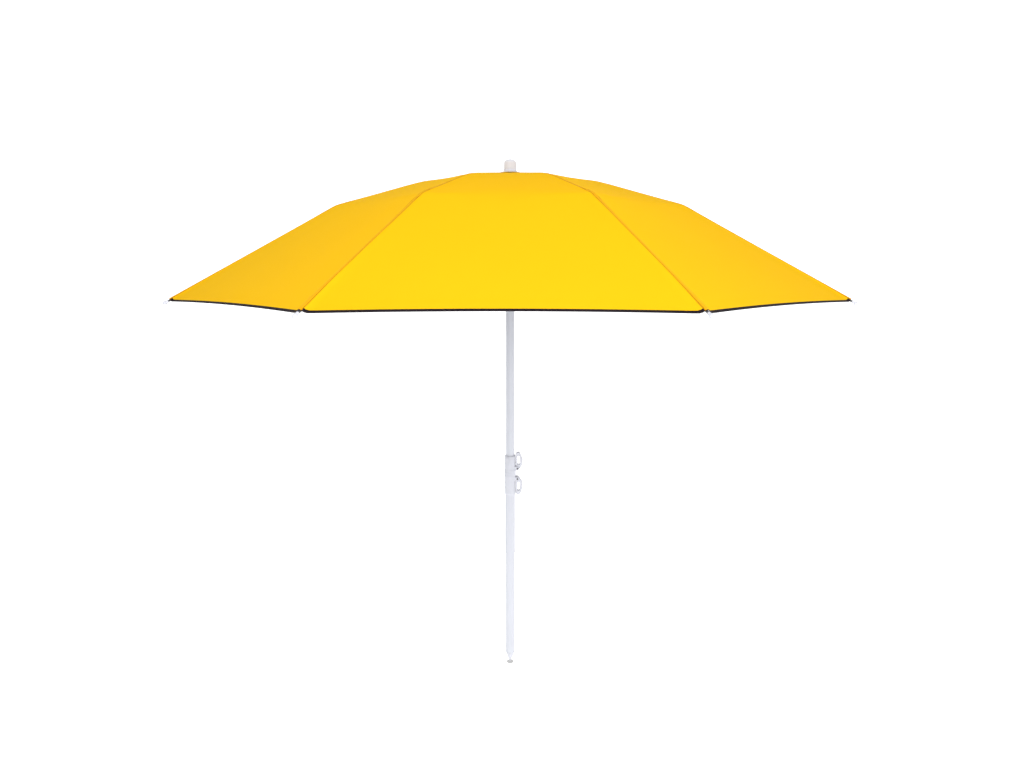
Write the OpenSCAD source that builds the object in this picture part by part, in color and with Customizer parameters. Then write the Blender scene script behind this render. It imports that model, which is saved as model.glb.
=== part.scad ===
// Beach umbrella with two-part folding ribs, a spike pole and a lever clamp.
// Origin at the point of the spike, +Z up the pole, millimetres.
// Rib k stands at azimuth 22.5 + 45 (k - 1) degrees.
// 2-D shapes of a rib lie in its own (radius, height) plane.

/* [Canopy] */
// Radius from the pole axis to the centre of a rib's ball tip
tip_radius = 900; // [700:5:1100]
// Height of the ball tips above the spike's point
tip_height = 1068; // [950:1:1300]
// Drop from the crown of the cloth to its surface over the knees
knee_drop = 115.2; // [90:0.1:160]
// Radius from the pole axis to the knees
knee_radius = 498; // [420:1:600]
// Height of the knees above the ball tips, on the rib's axis
knee_rise = 241.5; // [180:0.5:320]
// Radius at which the inner rib bends
bend_radius = 261; // [200:1:320]
// Slope of the cloth from the crown to the bend, in degrees
crown_slope = 8.5; // [4:0.5:14]
// Thickness of the canopy's closed solid
cloth_thickness = 1.4; // [0.8:0.1:3]
// How far the hem is cut back half-way between two ribs
hem_scallop = 6; // [0:1:40]
// How far the hem hangs below the ribs' line on both sides of each rib
hem_droop = 4.8; // [0:0.1:10]
// Distance along the rib from the ball's centre back to the cloth's corner
corner_setback = 11; // [6:1:30]

/* [Ribs] */
// Diameter of the rib rods
rib_d = 5; // [3.5:0.1:7]
// Radius of the curve at the inner rib's bend
bend_curve = 400; // [200:10:600]
// Diameter of the ball tips
ball_d = 10; // [7:0.5:16]
// Height of the knee's rivet above the top of the rods
knee_clearance = 0.9; // [0.7:0.1:2.5]
// Diameter of the hinge pins at the hub and the runner
pin_d = 3; // [2:0.1:4]
// Diameter of the knee's rivet
rivet_d = 2.5; // [1.5:0.1:3]
// Distance along the inner rib from its hub pin to the stretcher's rivet
stretcher_reach = 198; // [150:1:200]
// Length of a stretcher between its two pivots
stretcher_length = 246.7; // [220:0.1:300]
// Diameter of the stretcher rods
stretcher_d = 4; // [3:0.1:5]

/* [Pole] */
// Outer diameter of the upper pole and of the spike tube
pole_d = 25; // [20:0.5:32]
// Outer diameter of the lower tube
lower_d = 28; // [27.5:0.5:36]
// Wall of the upper pole and of the spike tube
tube_wall = 1.2; // [0.8:0.1:2]
// Length of the pointed tip
spike_point = 31; // [20:1:60]
// Height of the lower tube's bottom end
lower_bottom = 321; // [250:1:400]
// How far the spike tube stands up inside the lower tube
spike_insert = 40; // [25:1:60]
// Step in radius of the spike tube's swaged neck, which starts below the lower tube's mouth
neck_step = 0.3; // [0.2:0.05:0.6]
// Height of the upper pole's bottom end
pole_bottom = 500; // [480:1:515]

/* [Connector] */
// Height of the connector's top face
connector_top = 606; // [595:1:640]
// Height of the connector's bottom edge
connector_bottom = 493; // [470:1:498]
// Wall of the connector's collars around the lower tube
collar_wall = 1.7; // [1.5:0.1:4]
// Distance between the two lever pins
lever_spacing = 30.3; // [28:0.1:40]
// Distance of the lever pins from the lower tube's outer surface
lever_pin_offset = 7.5; // [7:0.1:12]
// Thickness of a lever, across the pin
lever_w = 11.6; // [8:0.2:16]

/* [Finial] */
// Diameter of the finial
finial_d = 37.4; // [30:0.2:50]
// Height of the finial above its washer
finial_h = 35.3; // [25:0.1:50]
// Diameter of the washer under the finial
washer_d = 58; // [46:1:76]
// Thickness of the washer at its middle
washer_t = 5.6; // [4:0.2:9]

/* [Fits] */
// Radial clearance of pins and sliding tubes
running_gap = 0.06; // [0.02:0.01:0.1]
// Free space between parts that only pass each other
free_gap = 0.3; // [0.2:0.05:0.5]

/* [Hidden] */
$fn = 48;
RIBS = 8;
HULL_FN = 32;
EPS = 0.01;
neck_gap = 3;
// Angle by which the curve of an inner rib runs into its straight ends
BEND_LAP = 0.1;

// Radii that follow from the diameters
pole_r = pole_d / 2;
lower_r = lower_d / 2;
collar_r = lower_r + collar_wall;
lever_pin_x = lower_r + lever_pin_offset;
rib_r = rib_d / 2;
pin_r = pin_d / 2;
rivet_r = rivet_d / 2;

// Pin circle of the hub and the runner, and the eyes that turn on the pins
eye_r = pin_r + 2.7;
pin_circle_r = pole_r + 13.5;
slot_w = rib_d + 2 * free_gap;
pin_len = slot_w + 8;

// The cloth: its surface falls from the crown in straight runs that meet at the bend and the knee
knee_height = tip_height + knee_rise;
tip_fall = atan2(knee_rise, tip_radius - knee_radius);
knee_lift = (rib_r + 6.33) / cos(tip_fall);
crown_height = knee_height + knee_lift + knee_drop;
stem_r = 5;
stem_hole_r = stem_r + 0.8;
crown_flat_r = 16;
function crown_line(r) = crown_height + 2.4 - r * tan(crown_slope);

// The rods: hub pin, bend corner, knee corner and ball centre, as (radius, height)
hub_pin = [pin_circle_r, crown_line(pin_circle_r) - eye_r - cloth_thickness - 0.5];
bend_corner = [bend_radius, crown_line(bend_radius) - rib_r - cloth_thickness - 0.7];
knee_corner = [knee_radius, knee_height];
ball_centre = [tip_radius, tip_height];
function slope(p, q) = atan2(p[1] - q[1], q[0] - p[0]);
function along(p, a, d) = [p[0] + d * cos(a), p[1] - d * sin(a)];
rib_slope = slope(hub_pin, bend_corner);
knee_slope = slope(bend_corner, knee_corner);
tip_slope = slope(knee_corner, ball_centre);
middle_slope = (knee_slope + tip_slope) / 2;
bend_cut = bend_curve * tan((knee_slope - rib_slope) / 2);
knee_offset = rib_r + knee_clearance;
knee_pin = [knee_corner[0] + knee_offset * sin(middle_slope),
    knee_corner[1] + knee_offset * cos(middle_slope)];
knee_eye_r = rivet_r + 1.95;
stretcher_pin = along(hub_pin, rib_slope, stretcher_reach);

// Runner: its pins stand where the stretchers reach them with the canopy open
runner_rise = sqrt(stretcher_length * stretcher_length - pow(stretcher_pin[0] - pin_circle_r, 2));
runner_pin = [pin_circle_r, stretcher_pin[1] - runner_rise];
runner_r = pole_r + 4;
runner_head_r = pin_circle_r + 7.5;
runner_down = 62;
stretcher_rise = -slope(runner_pin, stretcher_pin);

// Fork of a stretcher: two cheeks outside the rib
fork_len = 28;
cheek_in = rib_r + 0.4;
cheek_t = 2.2;

// Cloth points: radius and height of the surface over a rib
corner_r = tip_radius - corner_setback * cos(tip_slope);
corner_height = tip_height + corner_setback * sin(tip_slope) + (rib_r + 1.7) / cos(tip_fall);
knee_cloth = [knee_radius, knee_height + knee_lift];
cloth_knee_slope = slope([bend_radius, crown_line(bend_radius)], knee_cloth);
cloth_line = [
    [stem_hole_r, crown_height],
    [crown_flat_r, crown_height],
    [bend_radius - bend_cut, crown_line(bend_radius - bend_cut)],
    [bend_radius, crown_line(bend_radius) - 1.2],
    [bend_radius + bend_cut, crown_line(bend_radius) - bend_cut * tan(cloth_knee_slope)],
    knee_cloth,
    [corner_r, corner_height]
];
function cloth_z(r) = lookup(r, cloth_line);
ring_steps = [0.35, 0.7];
column_shares = [0, 0.02, 0.26, 0.5, 0.74, 0.98];
cloth_rings = concat(
    [for (i = [0:len(cloth_line) - 2]) each
        concat([cloth_line[i][0]], i < 1 ? [] : [for (s = ring_steps)
            cloth_line[i][0] + s * (cloth_line[i + 1][0] - cloth_line[i][0])])],
    [corner_r]
);
columns_per_gore = len(column_shares);
columns = RIBS * columns_per_gore;

// Pole, hub and finial heights
washer_bottom = crown_height + 0.2;
finial_bottom = washer_bottom + washer_t;
hub_top = crown_height - cloth_thickness - 1.5;
hub_shoulder = hub_pin[1] + 2;
hub_bottom = hub_pin[1] - 8;
hub_r = pin_circle_r + 8;
pole_top = hub_bottom + 6;

// Connector heights
lever_mid = (connector_top + connector_bottom) / 2 + 4.3;
upper_pin_z = lever_mid + lever_spacing / 2;
lower_pin_z = lever_mid - lever_spacing / 2;
socket_top = lever_mid - 2;
cam_r = 5.5;
cam_shift = 0.7;
pad_face = lever_pin_x - cam_shift - cam_r - free_gap;
ear_w = 3.6;
lever_gap = 0.4;
connector_screw_heights = [connector_bottom + 18, connector_bottom + 33];

// Trigger of the runner
trigger_pin_z = runner_pin[1] - 34;
trigger_pin_y = runner_r + 5;
trigger_w = 9;
trigger_pin_r = 1.25;

function rib_azimuth(k) = 22.5 + 360 / RIBS * (k - 1);

module at_rib(k) {
    rotate([0, 0, rib_azimuth(k)]) children();
}

// A 2-D shape in (radius, height), given a thickness across the rib's plane
module plate(t) {
    rotate([90, 0, 0]) linear_extrude(t, center = true) children();
}

// A round pin or bore across the rib's plane
module cross_pin(p, r, length) {
    translate([p[0], 0, p[1]]) rotate([90, 0, 0]) cylinder(r = r, h = length, center = true);
}

// A round rod from p to q in the rib's plane
module rod(p, q, r) {
    translate([p[0], 0, p[1]]) rotate([0, 90 + slope(p, q), 0])
        cylinder(r = r, h = norm(q - p));
}

module tube(r, wall, bottom, top) {
    difference() {
        translate([0, 0, bottom]) cylinder(r = r, h = top - bottom);
        translate([0, 0, bottom - 1]) cylinder(r = r - wall, h = top - bottom + 2);
    }
}

/* Lower pole */

module spike_tip() {
    color("whitesmoke") {
        rotate_extrude() polygon([[0, 0], [1.2, 0.8], [pole_r, spike_point], [0, spike_point]]);
        translate([0, 0, spike_point]) cylinder(r = pole_r - tube_wall, h = 18);
    }
}

module spike_tube() {
    color("whitesmoke") {
        tube(pole_r, tube_wall, spike_point, lower_bottom - neck_gap);
        tube(pole_r - neck_step, tube_wall - neck_step, lower_bottom - neck_gap - EPS,
            lower_bottom + spike_insert);
    }
}

module lower_tube() {
    color("whitesmoke") difference() {
        translate([0, 0, lower_bottom]) cylinder(r = lower_r, h = socket_top - lower_bottom);
        translate([0, 0, lower_bottom - 1])
            cylinder(r = pole_r - neck_step, h = socket_top - lower_bottom + 2);
        translate([0, 0, lower_bottom + spike_insert])
            cylinder(r = pole_r + running_gap, h = socket_top - lower_bottom);
        clamp_window(lower_pin_z);
    }
}

// Window through which a pad presses on its tube
module clamp_window(z) {
    translate([pole_r - 1, -4, z - 5]) cube([lower_r - pole_r + 5, 8, 10]);
}

module lever_ears(z) {
    for (side = [-1, 1]) translate([0, side * (lever_w / 2 + lever_gap + ear_w / 2), z])
        rotate([90, 0, 0]) linear_extrude(ear_w, center = true) difference() {
            union() {
                translate([lever_pin_x, 0]) circle(r = 5);
                translate([8, -5]) square([lever_pin_x - 8, 10]);
            }
            translate([lever_pin_x, 0]) circle(r = pin_r + running_gap);
        }
}

module connector() {
    color("whitesmoke") difference() {
        union() {
            translate([0, 0, connector_bottom + 2])
                cylinder(r = collar_r, h = connector_top - connector_bottom - 4);
            translate([0, 0, connector_bottom]) cylinder(r1 = collar_r - 1.4, r2 = collar_r, h = 2);
            translate([0, 0, connector_top - 2]) cylinder(r1 = collar_r, r2 = collar_r - 1, h = 2);
            translate([0, 0, connector_top - 23]) cylinder(r = collar_r + 0.4, h = 1.6);
            translate([0, 0, lever_mid - 11]) cylinder(r = collar_r + 0.8, h = 22);
            lever_ears(upper_pin_z);
            lever_ears(lower_pin_z);
        }
        for (z = [lever_mid - 4.4, lever_mid + 4.4]) translate([0, 0, z]) difference() {
            cylinder(r = collar_r + 3, h = 1.4, center = true);
            cylinder(r = collar_r - 0.4, h = 2, center = true);
            translate([collar_r + 3 - 9, -14, -2]) cube([20, 28, 4]);
        }
        translate([0, 0, connector_bottom - 1]) cylinder(r = pole_r + running_gap, h = 200);
        translate([0, 0, connector_bottom - 1]) cylinder(r = lower_r, h = socket_top - connector_bottom + 1);
        for (z = [upper_pin_z, lower_pin_z]) {
            translate([pole_r - 2, -lever_w / 2 - lever_gap, z - 8.5])
                cube([20, lever_w + 2 * lever_gap, 17]);
        }
        for (z = connector_screw_heights) translate([-collar_r - 3, 0, z]) rotate([0, 90, 0])
            cylinder(r = 1.5, h = 8);
    }
}

module connector_screws() {
    color("dimgray") for (z = connector_screw_heights)
        translate([-lower_r - EPS, 0, z]) rotate([0, -90, 0]) {
        cylinder(r = 1.45, h = collar_r - lower_r + 0.4);
        translate([0, 0, collar_r - lower_r + 0.05]) cylinder(r1 = 2.6, r2 = 1.8, h = 1);
    }
}

module lever_pins() {
    pin_h = lever_w + 2 * (lever_gap + ear_w) + 0.1;
    color("dimgray") for (z = [upper_pin_z, lower_pin_z]) translate([lever_pin_x, 0, z])
        rotate([90, 0, 0]) {
            cylinder(r = pin_r, h = pin_h + 1, center = true);
            for (side = [-1, 1]) translate([0, 0, side * (pin_h / 2 + 0.5)])
                cylinder(r = pin_r + 1, h = 1, center = true);
        }
}

// Block between a cam and the tube that it presses
module clamp_pad(z, tube_r) {
    color("dimgray") difference() {
        translate([tube_r - 2, -3.6, z - 4.4]) cube([pad_face - tube_r + 2, 7.2, 8.8]);
        translate([0, 0, z - 10]) cylinder(r = tube_r, h = 20);
    }
}

module upper_clamp_pad() {
    clamp_pad(upper_pin_z, pole_r + running_gap);
}

module lower_clamp_pad() {
    clamp_pad(lower_pin_z, pole_r + running_gap);
}

// Loop lever, drawn round its pin at (0, 0) with its loop along +Y
module lever_shape() {
    difference() {
        hull() {
            translate([0.3, 0]) circle(r = 5.4, $fn = HULL_FN);
            translate([2, 39]) circle(r = 7.2, $fn = HULL_FN);
            translate([6.3, 24]) circle(r = 9, $fn = HULL_FN);
            translate([5, 12]) circle(r = 8.6, $fn = HULL_FN);
        }
        hull() {
            translate([3.6, 14.5]) circle(r = 4.2, $fn = HULL_FN);
            translate([3, 31.5]) circle(r = 4, $fn = HULL_FN);
        }
    }
}

module lever(z, up) {
    color("whitesmoke") translate([lever_pin_x, 0, z]) difference() {
        union() {
            rotate([90, 0, 0]) linear_extrude(lever_w, center = true)
                if (up > 0) lever_shape(); else mirror([0, 1]) lever_shape();
            translate([-cam_shift, 0, 0]) rotate([90, 0, 0]) cylinder(r = cam_r, h = lever_w, center = true);
        }
        rotate([90, 0, 0]) cylinder(r = pin_r + running_gap, h = lever_w + 2, center = true);
    }
}

module upper_lever() {
    lever(upper_pin_z, 1);
}

module lower_lever() {
    lever(lower_pin_z, -1);
}

/* Upper pole and crown */

module upper_pole() {
    color("whitesmoke") tube(pole_r, tube_wall, pole_bottom, pole_top);
}

module crown_hub() {
    color("whitesmoke") difference() {
        union() {
            translate([0, 0, hub_bottom]) cylinder(r = hub_r, h = hub_shoulder - hub_bottom);
            translate([0, 0, hub_shoulder])
                cylinder(r = pin_circle_r - eye_r - 2, h = hub_top - hub_shoulder);
            translate([0, 0, hub_bottom - 26]) cylinder(r = pole_r + 3, h = 26);
        }
        translate([0, 0, hub_bottom - 27]) cylinder(r = pole_r, h = pole_top - hub_bottom + 27);
        translate([0, 0, pole_top - 1]) cylinder(r = stem_r, h = 60);
        for (k = [1:RIBS]) at_rib(k) {
            translate([pin_circle_r - eye_r - 1, -slot_w / 2, hub_bottom - 1]) cube([30, slot_w, 60]);
            cross_pin(hub_pin, pin_r, pin_len);
        }
    }
}

module crown_pins() {
    color("silver") for (k = [1:RIBS]) at_rib(k) cross_pin(hub_pin, pin_r, pin_len);
}

module finial() {
    crown_r = finial_d / 2;
    dome_edge = crown_r - 8;
    dome_r = 1.6 * crown_r;
    color("whitesmoke") {
        translate([0, 0, finial_bottom]) rotate_extrude() difference() {
            union() {
                square([crown_r, 5.5]);
                translate([0, 5.4]) square([crown_r - 1.4, 1]);
                intersection() {
                    union() {
                        translate([0, 5.9]) square([crown_r - 0.6, finial_h - 5.9 - dome_edge]);
                        translate([crown_r - 0.6 - dome_edge, finial_h - dome_edge]) circle(r = dome_edge);
                        translate([0, finial_h - dome_edge]) square([crown_r - 0.6 - dome_edge, dome_edge]);
                    }
                    translate([0, finial_h - dome_r]) circle(r = dome_r);
                    square([crown_r, finial_h]);
                }
            }
            translate([stem_r + 2, -1]) square([crown_r - 5.4 - stem_r, finial_h - 12]);
        }
        translate([0, 0, pole_top + 1]) cylinder(r = stem_r, h = finial_bottom - pole_top + 2);
    }
}

module finial_washer() {
    edge = washer_d / 2;
    color("whitesmoke") translate([0, 0, washer_bottom]) rotate_extrude()
        polygon([[stem_r + 0.1, 0], [edge, 0], [edge, washer_t - 2.2], [edge - 1.6, washer_t - 0.8],
            [finial_d / 2 + 1, washer_t], [stem_r + 0.1, washer_t]]);
}

/* Runner */

module runner() {
    color("whitesmoke") difference() {
        union() {
            translate([0, 0, runner_pin[1] - runner_down]) cylinder(r = runner_r, h = runner_down + 8);
            translate([0, 0, runner_pin[1] - 6]) cylinder(r = runner_head_r, h = 12);
            translate([0, 0, runner_pin[1] - runner_down]) cylinder(r = runner_r + 2, h = 4);
            for (side = [-1, 1])
                translate([side * (trigger_w / 2 + free_gap + 1.5) - 1.5, -trigger_pin_y - 4, trigger_pin_z - 12])
                    cube([3, trigger_pin_y + 4 - pole_r - 1, 24]);
        }
        translate([0, 0, runner_pin[1] - runner_down - 1])
            cylinder(r = pole_r + running_gap, h = runner_down + 20);
        translate([-trigger_w / 2 - free_gap, -runner_r - 1, trigger_pin_z + 10])
            cube([trigger_w + 2 * free_gap, runner_r - pole_r + 4, 10]);
        translate([0, -trigger_pin_y, trigger_pin_z]) rotate([0, 90, 0])
            cylinder(r = trigger_pin_r, h = 40, center = true);
        for (k = [1:RIBS]) at_rib(k) {
            translate([pin_circle_r - eye_r - 1, -slot_w / 2, runner_pin[1] - 5])
                cube([30, slot_w, 60]);
            cross_pin(runner_pin, pin_r, pin_len);
        }
    }
}

module runner_pins() {
    color("silver") {
        for (k = [1:RIBS]) at_rib(k) cross_pin(runner_pin, pin_r, pin_len);
        translate([0, -trigger_pin_y, trigger_pin_z]) rotate([0, 90, 0])
            cylinder(r = trigger_pin_r, h = trigger_w + 2 * free_gap + 6, center = true);
    }
}

// Rocking trigger: its tooth stands just clear of the pole, its pad is pressed at the bottom
module runner_trigger() {
    color("gray") translate([0, -trigger_pin_y, trigger_pin_z]) difference() {
        union() {
            rotate([0, 90, 0]) cylinder(r = 3.4, h = trigger_w, center = true);
            translate([-trigger_w / 2, -2.4, 0]) cube([trigger_w, 3, 18]);
            translate([-trigger_w / 2, -2.4, 12]) cube([trigger_w, trigger_pin_y + 2.4 - pole_r - 0.5, 6]);
            translate([-trigger_w / 2, -3.4, -20]) cube([trigger_w, 3.2, 20]);
        }
        rotate([0, 90, 0]) cylinder(r = trigger_pin_r + running_gap, h = trigger_w + 2, center = true);
        translate([-2.5, -1.2, -4]) cube([5, 10, 8]);
        rotate([0, 90, 0]) cylinder(r = 3.0, h = 5, center = true);
    }
}

// Torsion spring round the trigger's pin
module trigger_spring() {
    color("silver") translate([-1.92, -trigger_pin_y, trigger_pin_z]) rotate([0, 90, 0])
        for (turn = [0:4]) translate([0, 0, 0.96 * turn])
            rotate_extrude() translate([2.1, 0]) circle(r = 0.52);
}

/* Ribs */

module inner_rib(k) {
    color("dimgray") at_rib(k) difference() {
        union() {
            cross_pin(hub_pin, eye_r, rib_d);
            rod(along(hub_pin, rib_slope, 3), along(bend_corner, rib_slope, -bend_cut), rib_r);
            bend_centre = along(bend_corner, rib_slope, -bend_cut)
                - bend_curve * [sin(rib_slope), cos(rib_slope)];
            translate([bend_centre[0], 0, bend_centre[1]]) rotate([90, 0, 0])
                rotate([0, 0, 90 - knee_slope - BEND_LAP])
                    rotate_extrude(angle = knee_slope - rib_slope + 2 * BEND_LAP)
                        translate([bend_curve, 0]) circle(r = rib_r - EPS);
            rod(along(bend_corner, knee_slope, bend_cut), along(knee_corner, knee_slope, -10), rib_r);
        }
        cross_pin(hub_pin, pin_r + running_gap, rib_d + 2);
    }
}

// Forked socket on the inner rib's end, with the knee's rivet
module fold_joint(k) {
    sleeve = along(knee_corner, knee_slope, -26);
    sleeve_end = along(knee_corner, knee_slope, -10);
    color("gainsboro") at_rib(k) {
        difference() {
            union() {
                rod(sleeve, sleeve_end, rib_r + 1.1);
                plate(7.6) hull() {
                    translate(knee_pin) circle(r = knee_eye_r, $fn = HULL_FN);
                    translate(sleeve_end) rotate(-knee_slope) translate([-3, -3]) square([3, 6]);
                }
            }
            plate(3.6) translate(sleeve_end) rotate(-knee_slope) translate([EPS, -10]) square([24, 24]);
            plate(3.6) translate(sleeve_end) rotate(-knee_slope) translate([-6, 2.85]) square([8, 8]);
            rod(along(sleeve, knee_slope, -1), sleeve_end, rib_r);
            cross_pin(knee_pin, rivet_r, 12);
        }
        cross_pin(knee_pin, rivet_r, 8.4);
    }
}

module outer_rib(k) {
    start = along(knee_corner, tip_slope, 11);
    color("dimgray") at_rib(k) difference() {
        union() {
            rod(start, along(ball_centre, tip_slope, -2), rib_r);
            plate(3) hull() {
                translate(knee_pin) circle(r = knee_eye_r - 0.2, $fn = HULL_FN);
                translate(start) rotate(-tip_slope) translate([0, -2.2]) square([3, 4.4]);
            }
        }
        cross_pin(knee_pin, rivet_r + running_gap, 12);
    }
}

module rib_tip(k) {
    color("whitesmoke") at_rib(k) difference() {
        union() {
            translate([ball_centre[0], 0, ball_centre[1]]) sphere(d = ball_d);
            rod(along(ball_centre, tip_slope, -9), ball_centre, rib_r + 0.7);
        }
        rod(along(ball_centre, tip_slope, -30), along(ball_centre, tip_slope, -2), rib_r);
    }
}

module stretcher(k) {
    fork_start = along(stretcher_pin, -stretcher_rise, -fork_len);
    fork_end = along(stretcher_pin, -stretcher_rise, 5);
    fork_w = 2 * (cheek_in + cheek_t);
    color("silver") at_rib(k) difference() {
        union() {
            cross_pin(runner_pin, eye_r, rib_d);
            rod(along(runner_pin, -stretcher_rise, 3), fork_start, stretcher_d / 2);
            plate(fork_w) translate(fork_start) rotate(stretcher_rise) translate([-6, -3])
                square([fork_len + 6, 6]);
            cross_pin(stretcher_pin, 2.9, fork_w);
            cross_pin(stretcher_pin, pin_r, fork_w + 2.4);
        }
        plate(2 * cheek_in) translate(fork_start) rotate(stretcher_rise) translate([0, -8])
            square([fork_len + 30, 16]);
        cross_pin(runner_pin, pin_r + running_gap, rib_d + 2);
    }
}

/* Canopy */

// Share of the hem's scallop at a column: nothing over a rib, all of it half-way between two
function scallop_share(c) = let (u = column_shares[c % columns_per_gore]) 4 * u * (1 - u);

// How far along the outer ribs a ring lies, from 0 at the knees to 1 at the hem
function hem_share(ring) = max(0, (cloth_rings[ring] - knee_radius) / (corner_r - knee_radius));

// A ring's radius at a column, shortened towards the hem so that the hem curves back
function ring_radius(ring, c) = cloth_rings[ring] - hem_scallop * pow(hem_share(ring), 2) * scallop_share(c);

// A point on the straight line between two neighbouring ribs, at one radius on both
function cloth_point(ring, c, drop) = let (
        r = ring_radius(ring, c),
        gore = floor(c / columns_per_gore),
        u = column_shares[c % columns_per_gore],
        a = rib_azimuth(1) + gore * 360 / RIBS,
        b = a + 360 / RIBS
    ) [
        r * ((1 - u) * cos(a) + u * cos(b)),
        r * ((1 - u) * sin(a) + u * sin(b)),
        cloth_z(r) - drop - (u > 0 ? hem_droop * pow(hem_share(ring), 2) : 0)
    ];

module canopy() {
    rings = len(cloth_rings);
    layer = rings * columns;
    points = [for (drop = [0, cloth_thickness]) for (i = [0:rings - 1]) for (c = [0:columns - 1])
        cloth_point(i, c, drop)];
    function id(side, i, c) = side * layer + i * columns + c % columns;
    faces = concat(
        [for (i = [0:rings - 2]) for (c = [0:columns - 1]) each [
            [id(0, i, c), id(0, i, c + 1), id(0, i + 1, c)],
            [id(0, i, c + 1), id(0, i + 1, c + 1), id(0, i + 1, c)],
            [id(1, i, c), id(1, i + 1, c), id(1, i, c + 1)],
            [id(1, i, c + 1), id(1, i + 1, c), id(1, i + 1, c + 1)]]],
        [for (c = [0:columns - 1]) each [
            [id(0, rings - 1, c), id(0, rings - 1, c + 1), id(1, rings - 1, c)],
            [id(0, rings - 1, c + 1), id(1, rings - 1, c + 1), id(1, rings - 1, c)],
            [id(0, 0, c), id(1, 0, c), id(0, 0, c + 1)],
            [id(0, 0, c + 1), id(1, 0, c), id(1, 0, c + 1)]]]
    );
    color("gold") polyhedron(points, faces, convexity = 10);
}

spike_tip();
spike_tube();
lower_tube();
connector();
connector_screws();
lever_pins();
upper_clamp_pad();
lower_clamp_pad();
upper_lever();
lower_lever();
upper_pole();
crown_hub();
crown_pins();
finial();
finial_washer();
runner();
runner_pins();
runner_trigger();
trigger_spring();
canopy();
for (k = [1:RIBS]) inner_rib(k);
for (k = [1:RIBS]) fold_joint(k);
for (k = [1:RIBS]) outer_rib(k);
for (k = [1:RIBS]) rib_tip(k);
for (k = [1:RIBS]) stretcher(k);
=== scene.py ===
"""Beach umbrella: the sewn canopy, the finished metal and plastic pieces, and the studio.

Everything is in metres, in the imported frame: +Z up the pole, origin at the spike's point, rib k at azimuth
22.5 + 45 (k - 1) degrees. A rib's own plane has the axes (radius, side, height).
"""

import logging
import math
from dataclasses import dataclass, field
from enum import Enum
from typing import Sequence

import bmesh
import bpy
import numpy as np
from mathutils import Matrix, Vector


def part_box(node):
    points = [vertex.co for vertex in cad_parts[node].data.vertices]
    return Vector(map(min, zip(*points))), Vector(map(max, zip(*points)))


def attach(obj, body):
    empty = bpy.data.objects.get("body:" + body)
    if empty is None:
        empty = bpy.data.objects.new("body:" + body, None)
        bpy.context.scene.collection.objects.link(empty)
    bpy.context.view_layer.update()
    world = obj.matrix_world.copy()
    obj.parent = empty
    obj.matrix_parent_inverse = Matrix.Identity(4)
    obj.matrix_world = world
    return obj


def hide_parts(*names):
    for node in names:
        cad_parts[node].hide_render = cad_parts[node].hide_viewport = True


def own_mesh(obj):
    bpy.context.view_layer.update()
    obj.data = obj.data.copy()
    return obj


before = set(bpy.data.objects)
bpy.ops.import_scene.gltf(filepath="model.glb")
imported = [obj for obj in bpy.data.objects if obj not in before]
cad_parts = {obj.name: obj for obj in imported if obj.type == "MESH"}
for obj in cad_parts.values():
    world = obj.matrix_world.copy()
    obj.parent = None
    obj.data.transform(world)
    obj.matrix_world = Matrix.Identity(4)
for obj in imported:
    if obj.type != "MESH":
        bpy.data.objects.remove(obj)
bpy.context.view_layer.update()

LOG = logging.getLogger("umbrella")
RIBS = 8
GORE_ANGLE = 2 * math.pi / RIBS
MM = 0.001


class Slot(Enum):
    """The record's material slots that new pieces take their finish from."""

    TUBE = "white_tube"
    WHITE = "white_plastic"
    DARK = "dark_plastic"
    BLACKENED = "dark_steel"
    ZINC = "zinc_steel"
    ROD = "rib_rod"
    CLOTH = "canopy_cloth"


# ---------------------------------------------------------------- materials


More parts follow.
